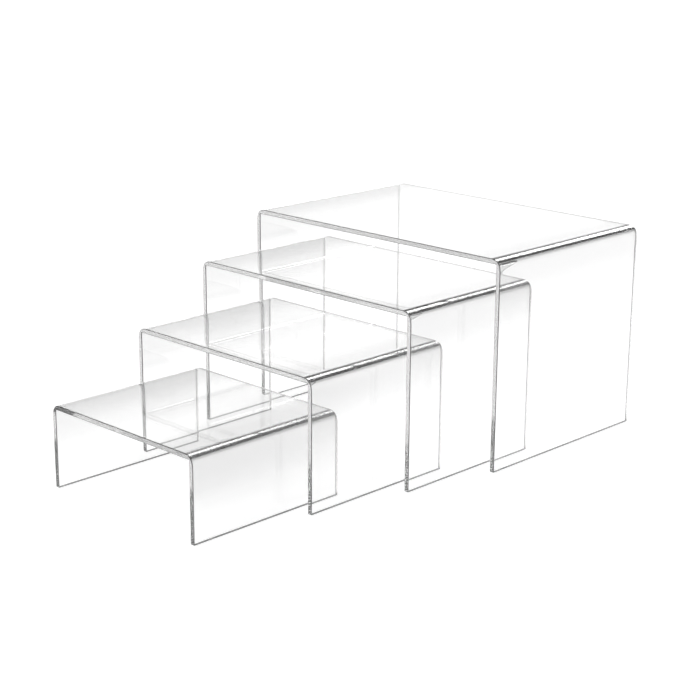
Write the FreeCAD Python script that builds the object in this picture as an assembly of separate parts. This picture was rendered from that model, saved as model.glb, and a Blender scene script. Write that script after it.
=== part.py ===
import FreeCAD, Part

import math
import os
from collections import namedtuple

# A set of bridge-shaped clear acrylic risers that stand as four tiers and nest for storage.
#
# Each riser is one flat sheet, heat-bent twice into an upside-down U: a level top and two
# upright legs that stand on their cut edges. The risers share the centre plane X = 0 and are
# staggered in depth, the lowest in front (-Y) and the tallest at the back (+Y), each reaching
# a little way under the next. Millimetres, +Z up. The origin is at the middle of the set's
# footprint, on the surface that it stands on.

# ---- driving dimensions -----------------------------------------------------------------
sheet_thickness = 3.0
inner_bend_radius = 2.0          # inside of both bends; the outside is one sheet larger

Riser = namedtuple("Riser", "node width height depth front")

# width, height and depth are outside sizes; front is how far the riser's front edges stand
# in front of the largest riser's front edges
risers = [
    Riser("smallest_riser", width=121.0, height=50.0, depth=105.0, front=195.0),
    Riser("second_riser", width=147.0, height=78.0, depth=105.0, front=122.0),
    Riser("third_riser", width=175.0, height=106.0, depth=105.0, front=59.0),
    Riser("largest_riser", width=203.0, height=128.0, depth=134.0, front=0.0),
]

# ---- worked out from them ---------------------------------------------------------------
outer_bend_radius = inner_bend_radius + sheet_thickness
foremost_y = min(-riser.front for riser in risers)
rearmost_y = max(riser.depth - riser.front for riser in risers)
middle_y = (foremost_y + rearmost_y) / 2


def arch_outline(half_width, height, radius):
    """Edges of one face of the sheet in the XZ plane: left foot, over the top, right foot."""

    def point(x, z):
        return FreeCAD.Vector(x, 0, z)

    half_flat = half_width - radius
    straight_height = height - radius
    # the middle of a quarter arc is this far out from the arc's centre, along X and along Z
    mid_arc = radius * math.sqrt(0.5)
    left_foot = point(-half_width, 0)
    left_bend_start = point(-half_width, straight_height)
    left_bend_middle = point(-half_flat - mid_arc, straight_height + mid_arc)
    left_bend_end = point(-half_flat, height)
    right_bend_start = point(half_flat, height)
    right_bend_middle = point(half_flat + mid_arc, straight_height + mid_arc)
    right_bend_end = point(half_width, straight_height)
    right_foot = point(half_width, 0)
    return [
        Part.LineSegment(left_foot, left_bend_start).toShape(),
        Part.Arc(left_bend_start, left_bend_middle, left_bend_end).toShape(),
        Part.LineSegment(left_bend_end, right_bend_start).toShape(),
        Part.Arc(right_bend_start, right_bend_middle, right_bend_end).toShape(),
        Part.LineSegment(right_bend_end, right_foot).toShape(),
    ]


def foot_edge(half_width, side):
    """The cut edge that one leg stands on, across the sheet's thickness. side is -1 or 1."""
    outside = FreeCAD.Vector(side * half_width, 0, 0)
    inside = FreeCAD.Vector(side * (half_width - sheet_thickness), 0, 0)
    return Part.LineSegment(outside, inside).toShape()


def bent_sheet(riser):
    """One riser: the sheet's arched section, carried straight back through its depth."""
    half_width = riser.width / 2
    outer_face = arch_outline(half_width, riser.height, outer_bend_radius)
    inner_face = arch_outline(
        half_width - sheet_thickness, riser.height - sheet_thickness, inner_bend_radius
    )
    feet = [foot_edge(half_width, -1), foot_edge(half_width, 1)]
    outline = Part.Wire(Part.__sortEdges__(outer_face + inner_face + feet))
    section = Part.Face(outline)
    section.translate(FreeCAD.Vector(0, -riser.front - middle_y, 0))
    return section.extrude(FreeCAD.Vector(0, riser.depth, 0))


def check_nesting():
    """Each riser has to pass under the next one with room at the sides and the top."""
    for smaller, larger in zip(risers, risers[1:]):
        side_gap = (larger.width - smaller.width) / 2 - sheet_thickness
        top_gap = larger.height - smaller.height - sheet_thickness
        print(f"{smaller.node} under {larger.node}: {side_gap} mm a side, {top_gap} mm above")
        if min(side_gap, top_gap) <= 0:
            raise ValueError(f"{smaller.node} does not fit under {larger.node}")


check_nesting()
os.makedirs("parts", exist_ok=True)
for riser in risers:
    solid = bent_sheet(riser)
    print(riser.node, "valid" if solid.isValid() else "NOT VALID", round(solid.Volume), "mm3")
    solid.exportStep(f"parts/{riser.node}.step")
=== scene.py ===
import math

import bmesh
import bpy
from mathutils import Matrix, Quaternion, Vector


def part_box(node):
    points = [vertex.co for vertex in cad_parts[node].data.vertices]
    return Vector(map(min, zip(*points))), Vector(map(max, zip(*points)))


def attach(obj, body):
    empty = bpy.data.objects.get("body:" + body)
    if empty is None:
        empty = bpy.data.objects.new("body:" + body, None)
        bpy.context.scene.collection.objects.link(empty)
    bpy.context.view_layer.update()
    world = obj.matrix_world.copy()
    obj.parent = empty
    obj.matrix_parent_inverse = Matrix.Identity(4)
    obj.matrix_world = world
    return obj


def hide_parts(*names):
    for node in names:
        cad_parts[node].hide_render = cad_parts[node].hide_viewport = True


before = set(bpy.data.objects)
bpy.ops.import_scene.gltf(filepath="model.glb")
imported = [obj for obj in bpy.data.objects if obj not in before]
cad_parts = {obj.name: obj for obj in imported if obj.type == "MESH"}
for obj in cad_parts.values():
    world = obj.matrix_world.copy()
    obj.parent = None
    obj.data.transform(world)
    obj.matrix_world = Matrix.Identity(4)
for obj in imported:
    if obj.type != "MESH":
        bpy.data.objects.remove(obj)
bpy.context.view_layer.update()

mm = 0.001


def toLinear(hexColour):
    # sRGB hex to the linear RGBA that shaders work in
    channels = [int(hexColour[i:i + 2], 16) / 255 for i in (1, 3, 5)]
    return [c / 12.92 if c <= 0.04045 else ((c + 0.055) / 1.055) ** 2.4 for c in channels] + [1.0]


def addNode(tree, kind, settings=None, inputs=None, links=None):
    # settings are the node's own properties, inputs are socket values, links are socket: source
    node = tree.nodes.new(kind)
    for name, value in (settings or {}).items():
        setattr(node, name, value)
    for name, value in (inputs or {}).items():
        node.inputs[name].default_value = value
    for name, source in (links or {}).items():
        tree.links.new(source, node.inputs[name])
    return node


# the acrylic sheet that all four risers are bent from
sheet = {
    "thickness": 3.0 * mm,
    "outerReach": 8.5 * mm,    # from the outer corner to where each bend starts
    "innerReach": 0.4 * mm,    # the same on the inside, which is nearly sharp
    "peaked": 0.8,             # 0 is a plain arc, 1 is curved most at the middle of the bend
    "midBendShadePower": 16,        # the higher, the closer the painted shade inside each bend keeps to the bend's middle
    "bendSteps": 36,           # strips round each quarter bend
    "flatSteps": 12,           # strips along each leg and across the top
    "arris": 0.40 * mm,        # how far the cut edges' corners are scraped back
    "arrisSteps": 4,
}


def bendShape():
    # a quarter bend of reach 1 from level to upright, as (along, down)
    steps = sheet["bendSteps"]
    fine = 40                  # slices summed for each strip
    points = [(0.0, 0.0)]
    along = down = 0.0
    for i in range(steps * fine):
        share = (i + 0.5) / (steps * fine)
        # the curvature rises and falls as a raised cosine, as a strip heater leaves it
        turn = math.pi / 2 * (share - sheet["peaked"] * math.sin(2 * math.pi * share) / (2 * math.pi))
        along += math.cos(turn)
        down += math.sin(turn)
        if (i + 1) % fine == 0:
            points.append((along, down))
    return [(point[0] / along, point[1] / down) for point in points]


quarterBend = bendShape()


def facePath(side, top, reach, foot):
    # one face of the sheet from left foot to right foot: (x, z, distance from a bend); inside
    # a bend the distance goes below zero, lowest at the bend's middle, where its painted shade is darkest
    flats = sheet["flatSteps"]
    rightHalf = []
    for i in range(flats // 2):
        x = (side - reach) * i / (flats // 2)
        rightHalf.append((x, top, side - reach - x))
    for i, (along, down) in enumerate(quarterBend):
        middle = math.sin(math.pi * i / sheet["bendSteps"]) ** sheet["midBendShadePower"]
        rightHalf.append((side - reach + reach * along, top - reach * down, -middle * sheet["outerReach"]))
    for i in range(1, flats + 1):
        fall = (top - reach - foot) * i / flats
        rightHalf.append((side, top - reach - fall, fall))
    leftHalf = [(-x, z, away) for x, z, away in rightHalf[:0:-1]]
    return leftHalf + rightHalf


def sectionLoop(width, height, inset):
    # the sheet's section shrunk by inset all round: outer face, right foot, inner face, left foot
    thick, arris, steps = sheet["thickness"], sheet["arris"], sheet["arrisSteps"]
    outer = facePath(width / 2 - inset, height - inset, sheet["outerReach"] - inset, arris)
    inner = facePath(width / 2 - thick + inset, height - thick + inset, sheet["innerReach"] + inset, arris)
    easing = arris - inset
    legLength = outer[-1][2]
    rightFoot = []
    for i in range(1, 2 * steps + 1):
        # a quarter round at each corner of the foot, with the flat between them
        if i <= steps:
            turn = math.pi / 2 * i / steps
            side = width / 2 - arris + easing * math.cos(turn)
            down = arris - easing * math.sin(turn)
        else:
            turn = math.pi / 2 * (i - steps - 1) / steps
            side = width / 2 - thick + arris - easing * math.sin(turn)
            down = arris - easing * math.cos(turn)
        rightFoot.append((side, down, legLength))
    leftFoot = [(-side, down, away) for side, down, away in rightFoot]
    return outer + rightFoot + inner[::-1] + leftFoot[::-1]


faceFinish, cutFinish, arrisFinish, footFinish = 0, 1, 2, 3


def buildRiser(node):
    low, high = (Vector(corner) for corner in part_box(node))
    width, height = high.x - low.x, high.z - low.z
    midX = (low.x + high.x) / 2
    arris, steps = sheet["arris"], sheet["arrisSteps"]
    # rings of the section from front to back, inset where the front and back corners are scraped
    turns = [math.pi / 2 * i / steps for i in range(steps + 1)]
    stations = [(low.y + arris * (1 - math.cos(turn)), arris * (1 - math.sin(turn))) for turn in turns]
    stations += [(low.y + high.y - y, inset) for y, inset in reversed(stations)]
    bm = bmesh.new()
    fromBend = bm.verts.layers.float.new("fromBend")
    rings = []
    for y, inset in stations:
        ring = []
        for x, z, away in sectionLoop(width, height, inset):
            vert = bm.verts.new((midX + x, y, low.z + z))
            vert[fromBend] = away / mm
            ring.append(vert)
        rings.append(ring)
    # which strips of a ring are foot and which are its scraped corners
    count = len(rings[0])
    footCount = 2 * steps
    faceCount = (count - 2 * footCount) // 2
    flatOfFoot = {faceCount + steps - 1, 2 * faceCount + footCount + steps - 1}
    footStrips = set(range(faceCount - 1, faceCount + footCount))
    footStrips |= {(i + faceCount + footCount) % count for i in footStrips}
    for k, (near, far) in enumerate(zip(rings, rings[1:])):
        # only the strip between the two middle rings spans the flat of the sheet
        scraped = k != steps
        for i in range(count):
            j = (i + 1) % count
            face = bm.faces.new((near[i], near[j], far[j], far[i]))
            face.material_index = faceFinish
            if i in flatOfFoot:
                face.material_index = footFinish
            elif scraped or i in footStrips:
                face.material_index = arrisFinish
    # the cut faces: quads across the thickness, and one face at each foot
    for ring, flip in ((rings[0], True), (rings[-1], False)):
        outer = ring[:faceCount]
        rightFoot = ring[faceCount:faceCount + footCount]
        inner = ring[faceCount + footCount:2 * faceCount + footCount][::-1]
        leftFoot = ring[2 * faceCount + footCount:]
        caps = [(outer[i], outer[i + 1], inner[i + 1], inner[i]) for i in range(faceCount - 1)]
        caps.append([outer[-1]] + rightFoot + [inner[-1]])
        caps.append([inner[0]] + leftFoot + [outer[0]])
        for corners in caps:
            face = bm.faces.new(corners[::-1] if flip else corners)
            face.material_index = cutFinish
    bmesh.ops.recalc_face_normals(bm, faces=bm.faces)
    for face in bm.faces:
        face.smooth = True
    mesh = bpy.data.meshes.new(node)
    bm.to_mesh(mesh)
    bm.free()
    piece = bpy.data.objects.new(node + "_sheet", mesh)
    bpy.context.scene.collection.objects.link(piece)
    # keeps the flats flat to the eye right up to the small rounded corners
    smooth = piece.modifiers.new("flatFaces", "WEIGHTED_NORMAL")
    smooth.mode = "FACE_AREA"
    smooth.weight = 100
    smooth.keep_sharp = True
    return piece


# the body of the sheet, the same behind all four finishes
acrylic = {
    "ior": 1.49,
    "absorb": 1.8,             # per metre, so only light that runs along inside the sheet greys
}


def glassTree(name):
    material = bpy.data.materials.new(name)
    material.use_nodes = True
    tree = material.node_tree
    tree.nodes.clear()
    place = addNode(tree, "ShaderNodeTexCoord").outputs["Object"]
    return material, tree, place


def finishTree(tree, surface):
    body = addNode(tree, "ShaderNodeVolumeAbsorption", inputs={
        "Color": (0, 0, 0, 1), "Density": acrylic["absorb"]})
    addNode(tree, "ShaderNodeOutputMaterial", links={
        "Surface": surface.outputs[0], "Volume": body.outputs[0]})


castFace = {
    "shadeFadeStarts": 4.0,         # mm out from a bend where the painted shade beside it starts to fade
    "shadeFadeEnds": 36.0,
    "besideBendShadeTint": "#e8e8e8",
    "midBendShadeTint": "#808080",     # painted shade down the middle of each bend
    "ripple": 40.0 * mm,       # width of the slow waves in a cast sheet
    "rippleHeight": 0.004 * mm,
    "wipe": 6.0 * mm,          # spacing of the hairlines that wiping leaves, drawn coarser than real
    "wipeLength": 12.5,        # how many times longer than wide they run, front to back
    "wipePeaks": (0.62, 0.8),  # only the noise's peaks are hairlines, the rest stays polished
    "wipeRough": 0.012,
}


def castAcrylic():
    # acrylic cast between glass plates, hot bent over a strip heater and wiped with a cloth:
    # the eye sees it by its reflections, by slow waves in them, by painted shade beside each bend and by a
    # painted dark line down each bend's middle
    material, tree, place = glassTree("acrylic_cast_polished")
    away = addNode(tree, "ShaderNodeAttribute", {"attribute_name": "fromBend"})
    # painted shade: the sheet is tinted grey beside each bend, fading out further from it
    besideBendShade = addNode(tree, "ShaderNodeMapRange", {"interpolation_type": "SMOOTHSTEP"}, {
        "From Min": castFace["shadeFadeStarts"], "From Max": castFace["shadeFadeEnds"], "To Min": 1.0, "To Max": 0.0},
        {"Value": away.outputs["Fac"]})
    tint = addNode(tree, "ShaderNodeMix", {"data_type": "RGBA"}, {
        "A": (1, 1, 1, 1), "B": toLinear(castFace["besideBendShadeTint"])}, {"Factor": besideBendShade.outputs[0]})
    # painted shade: a darker grey tint down the middle of each bend
    bent = addNode(tree, "ShaderNodeMapRange", inputs={
        "From Min": 0.0, "From Max": -sheet["outerReach"] / mm, "To Min": 0.0, "To Max": 1.0},
        links={"Value": away.outputs["Fac"]})
    tint = addNode(tree, "ShaderNodeMix", {"data_type": "RGBA"}, {"B": toLinear(castFace["midBendShadeTint"])},
                   {"Factor": bent.outputs[0], "A": tint.outputs["Result"]})
    waves = addNode(tree, "ShaderNodeTexNoise", inputs={
        "Scale": 1 / castFace["ripple"], "Detail": 0.0}, links={"Vector": place})
    bump = addNode(tree, "ShaderNodeBump", inputs={
        "Distance": castFace["rippleHeight"], "Strength": 1.0}, links={"Height": waves.outputs["Fac"]})
    stretch = addNode(tree, "ShaderNodeMapping", inputs={
        "Scale": (1, 1 / castFace["wipeLength"], 1)}, links={"Vector": place})
    hairs = addNode(tree, "ShaderNodeTexNoise", inputs={
        "Scale": 1 / castFace["wipe"], "Detail": 3.0}, links={"Vector": stretch.outputs[0]})
    low, high = castFace["wipePeaks"]
    wiped = addNode(tree, "ShaderNodeMapRange", inputs={
        "From Min": low, "From Max": high, "To Min": 0.0, "To Max": castFace["wipeRough"]},
        links={"Value": hairs.outputs["Fac"]})
    surface = addNode(tree, "ShaderNodeBsdfPrincipled", inputs={
        "IOR": acrylic["ior"], "Transmission Weight": 1.0}, links={
        "Base Color": tint.outputs["Result"], "Roughness": wiped.outputs[0], "Normal": bump.outputs[0]})
    finishTree(tree, surface)
    return material


def bandScale(pitch):
    # a wave texture repeats every 2 pi / (20 * scale) metres
    return 2 * math.pi / (20 * pitch)


cutEdge = {
    "roughLeast": 0.12,
    "roughMost": 0.17,
    "sawPitch": 1.6 * mm,      # saw marks are about 0.4 mm apart, drawn coarser so that they show
    "sawDepth": 0.0004 * mm,
}


def cutAcrylic():
    # the front and back edges, sawn and then buffed on a wheel: light carried inside the sheet
    # leaves here, so they shine as pale bands, crossed by what is left of the saw marks
    material, tree, place = glassTree("acrylic_saw_cut_buffed")
    # diagonal bands cross the edge along both the top and the legs
    marks = addNode(tree, "ShaderNodeTexWave", {"wave_type": "BANDS", "bands_direction": "DIAGONAL"}, {
        "Scale": bandScale(cutEdge["sawPitch"]), "Distortion": 1.5, "Detail": 1.0}, {"Vector": place})
    rough = addNode(tree, "ShaderNodeMapRange", inputs={
        "To Min": cutEdge["roughLeast"], "To Max": cutEdge["roughMost"]},
        links={"Value": marks.outputs["Fac"]})
    bump = addNode(tree, "ShaderNodeBump", inputs={
        "Distance": cutEdge["sawDepth"], "Strength": 1.0}, links={"Height": marks.outputs["Fac"]})
    surface = addNode(tree, "ShaderNodeBsdfPrincipled", inputs={
        "Base Color": (1, 1, 1, 1), "IOR": acrylic["ior"], "Transmission Weight": 1.0},
        links={"Roughness": rough.outputs[0], "Normal": bump.outputs[0]})
    finishTree(tree, surface)
    return material


arrisEdge = {
    # painted shade: the scraped corners are tinted grey so that they read dark
    "tint": "#808080",
    "roughLeast": 0.28,
    "roughMost": 0.42,
    "chatter": 2.5 * mm,       # length of the scraper's chatter marks along the edge
    "chatterDepth": 0.01 * mm,
}


def scrapedAcrylic():
    # every sharp corner drawn down with a hand scraper: a thin frosted line, tinted grey with painted
    # shade so that it reads as a dark line and draws each riser's outline
    material, tree, place = glassTree("acrylic_scraped_arris_painted_shade")
    marks = addNode(tree, "ShaderNodeTexNoise", inputs={
        "Scale": 1 / arrisEdge["chatter"], "Detail": 3.0}, links={"Vector": place})
    rough = addNode(tree, "ShaderNodeMapRange", inputs={
        "From Min": 0.3, "From Max": 0.7,
        "To Min": arrisEdge["roughLeast"], "To Max": arrisEdge["roughMost"]},
        links={"Value": marks.outputs["Fac"]})
    bump = addNode(tree, "ShaderNodeBump", inputs={
        "Distance": arrisEdge["chatterDepth"], "Strength": 1.0}, links={"Height": marks.outputs["Fac"]})
    surface = addNode(tree, "ShaderNodeBsdfPrincipled", inputs={
        "Base Color": toLinear(arrisEdge["tint"]), "IOR": acrylic["ior"], "Transmission Weight": 1.0},
        links={"Roughness": rough.outputs[0], "Normal": bump.outputs[0]})
    finishTree(tree, surface)
    return material


footFace = {
    # the grey of the feet is painted shade for where they stand on the counter
    "tint": "#b4b4b4",
    "scuffTint": "#8c8c8c",
    "rough": 0.65,
    "scuffRough": 0.5,
    "scuff": 5.0 * mm,         # size of the scuffs that standing on a counter leaves
    "scuffPeaks": (0.45, 0.65),
    "sawPitch": 1.2 * mm,      # drawn coarser than the real 0.4 mm
    "sawDepth": 0.02 * mm,
}


def footAcrylic():
    # the narrow feet, left as the saw cut them: matt, tinted grey with painted shade for where they
    # stand on the counter, and a little greyer where scuffed
    material, tree, place = glassTree("acrylic_saw_cut_matt_painted_shade")
    scuffs = addNode(tree, "ShaderNodeTexNoise", inputs={
        "Scale": 1 / footFace["scuff"], "Detail": 4.0}, links={"Vector": place})
    low, high = footFace["scuffPeaks"]
    worn = addNode(tree, "ShaderNodeMapRange", inputs={"From Min": low, "From Max": high},
                   links={"Value": scuffs.outputs["Fac"]})
    tint = addNode(tree, "ShaderNodeMix", {"data_type": "RGBA"}, {
        "A": toLinear(footFace["tint"]), "B": toLinear(footFace["scuffTint"])}, {"Factor": worn.outputs[0]})
    rough = addNode(tree, "ShaderNodeMapRange", inputs={
        "To Min": footFace["rough"], "To Max": footFace["scuffRough"]}, links={"Value": worn.outputs[0]})
    marks = addNode(tree, "ShaderNodeTexWave", {"wave_type": "BANDS", "bands_direction": "Y"}, {
        "Scale": bandScale(footFace["sawPitch"]), "Distortion": 2.0, "Detail": 2.0}, {"Vector": place})
    bump = addNode(tree, "ShaderNodeBump", inputs={
        "Distance": footFace["sawDepth"], "Strength": 1.0}, links={"Height": marks.outputs["Fac"]})
    surface = addNode(tree, "ShaderNodeBsdfPrincipled", inputs={"IOR": acrylic["ior"]}, links={
        "Base Color": tint.outputs["Result"], "Roughness": rough.outputs[0], "Normal": bump.outputs[0]})
    finishTree(tree, surface)
    return material


# in the order of faceFinish, cutFinish, arrisFinish and footFinish
finishes = [castAcrylic(), cutAcrylic(), scrapedAcrylic(), footAcrylic()]
print("finishes made:", ", ".join(finish.name for finish in finishes))
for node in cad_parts:
    piece = buildRiser(node)
    for finish in finishes:
        piece.data.materials.append(finish)
    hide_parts(node)
    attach(piece, node)
print("risers built:", len(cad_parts))

studio = {
    "floorSize": 12.0,         # metres from the middle to each side
    "floorDrop": 0.2 * mm,     # keeps the floor just clear of the feet
    "floorColour": "#909090",
    "floorRough": 0.8,
    "floorGlow": 0.9,
    # (elevation in degrees, brightness) of the walls round the table
    "walls": [(0, 1.12), (10, 1.08), (17, 0.98), (22, 0.97), (26, 0.2), (29, 0.06), (60, 0.06), (75, 0.4)],
    # a softbox behind and a weaker one in front, as ranges of the direction's x, y and z: each
    # bend reflects one as a white line
    "boxSide": (0.08, 0.43),
    "boxDepth": (0.58, 0.86),
    "boxHeight": (0.36, 0.85),
    "boxFade": 0.03,
    "boxBehind": 12.0,
    "boxInFront": 6.0,
}


def makeFloor():
    # opal acrylic lit from below: an even white that leaves only the risers' edges to be seen
    half = studio["floorSize"]
    mesh = bpy.data.meshes.new("floor")
    corners = [(-half, -half, 0), (half, -half, 0), (half, half, 0), (-half, half, 0)]
    mesh.from_pydata(corners, [], [(0, 1, 2, 3)])
    floor = bpy.data.objects.new("floor", mesh)
    bpy.context.scene.collection.objects.link(floor)
    material = bpy.data.materials.new("light_table_opal")
    material.use_nodes = True
    shader = material.node_tree.nodes["Principled BSDF"]
    shader.inputs["Base Color"].default_value = toLinear(studio["floorColour"])
    shader.inputs["Roughness"].default_value = studio["floorRough"]
    shader.inputs["Specular IOR Level"].default_value = 0.2
    shader.inputs["Emission Color"].default_value = (1, 1, 1, 1)
    shader.inputs["Emission Strength"].default_value = studio["floorGlow"]
    mesh.materials.append(material)
    floor.location.z = -studio["floorDrop"]


def makeWalls():
    # white low down and dark above, which is what makes the bends' dark lines
    world = bpy.data.worlds.new("studio")
    bpy.context.scene.world = world
    world.use_nodes = True
    tree = world.node_tree
    tree.nodes.clear()
    direction = addNode(tree, "ShaderNodeTexCoord")
    split = addNode(tree, "ShaderNodeSeparateXYZ", links={"Vector": direction.outputs["Generated"]})
    ramp = addNode(tree, "ShaderNodeValToRGB", links={"Fac": split.outputs["Z"]})
    stops = ramp.color_ramp.elements
    while len(stops) < len(studio["walls"]):
        stops.new(0.5)
    for stop, (up, level) in zip(stops, studio["walls"]):
        stop.position = math.sin(math.radians(up))
        stop.color = (level, level, level, 1)
    # the side that a softbox hangs to turns round with front and back
    facing = addNode(tree, "ShaderNodeMath", {"operation": "SIGN"}, links={0: split.outputs["Y"]})
    side = addNode(tree, "ShaderNodeMath", {"operation": "MULTIPLY"},
                   links={0: facing.outputs[0], 1: split.outputs["X"]})
    side = addNode(tree, "ShaderNodeMath", {"operation": "MULTIPLY"}, {1: -1.0}, {0: side.outputs[0]})
    depth = addNode(tree, "ShaderNodeMath", {"operation": "ABSOLUTE"}, links={0: split.outputs["Y"]})
    # Y says which of the two softboxes a direction belongs to
    brightness = addNode(tree, "ShaderNodeMapRange", inputs={
        "From Min": -0.1, "From Max": 0.1, "To Min": studio["boxInFront"], "To Max": studio["boxBehind"]},
        links={"Value": split.outputs["Y"]})
    lit = brightness.outputs[0]
    fade = studio["boxFade"]
    spans = [(side.outputs[0], studio["boxSide"]), (depth.outputs[0], studio["boxDepth"]),
             (split.outputs["Z"], studio["boxHeight"])]
    for value, (least, most) in spans:
        for edge, before, after in ((least, 0.0, 1.0), (most, 1.0, 0.0)):
            step = addNode(tree, "ShaderNodeMapRange", {"interpolation_type": "SMOOTHSTEP"}, {
                "From Min": edge - fade, "From Max": edge + fade, "To Min": before, "To Max": after},
                {"Value": value})
            lit = addNode(tree, "ShaderNodeMath", {"operation": "MULTIPLY"},
                          links={0: lit, 1: step.outputs[0]}).outputs[0]
    both = addNode(tree, "ShaderNodeVectorMath", {"operation": "ADD"},
                   links={0: lit, 1: ramp.outputs["Color"]})
    background = addNode(tree, "ShaderNodeBackground", links={"Color": both.outputs[0]})
    addNode(tree, "ShaderNodeOutputWorld", links={"Surface": background.outputs[0]})


makeFloor()
makeWalls()
print("floor and walls made")

view = {
    "azimuth": 44.2,           # degrees round from the front towards the right
    "elevation": 16.41,
    "roll": 0.39,
    "distance": 1.0036,        # metres from the target
    "target": (0.0067, 0.0065, 0.0603),
    "lens": 85.34,             # mm, on a full frame
}


def makeCamera():
    camera = bpy.data.cameras.new("camera")
    camera.lens = view["lens"]
    camera.sensor_width = 36
    camera.clip_start = 0.05
    camera.clip_end = 100
    holder = bpy.data.objects.new("camera", camera)
    around, up = math.radians(view["azimuth"]), math.radians(view["elevation"])
    back = Vector((math.sin(around) * math.cos(up), -math.cos(around) * math.cos(up), math.sin(up)))
    holder.location = Vector(view["target"]) + back * view["distance"]
    aim = (-back).to_track_quat("-Z", "Y")
    holder.rotation_euler = (aim @ Quaternion((0, 0, 1), math.radians(view["roll"]))).to_euler()
    bpy.context.scene.collection.objects.link(holder)
    bpy.context.scene.camera = holder


makeCamera()
bpy.context.scene.view_settings.view_transform = "Standard"
cycles = bpy.context.scene.cycles
# light bounces many times inside a sheet before it leaves through a cut edge
cycles.max_bounces = 64
cycles.glossy_bounces = 64
cycles.transmission_bounces = 64
print("camera set")
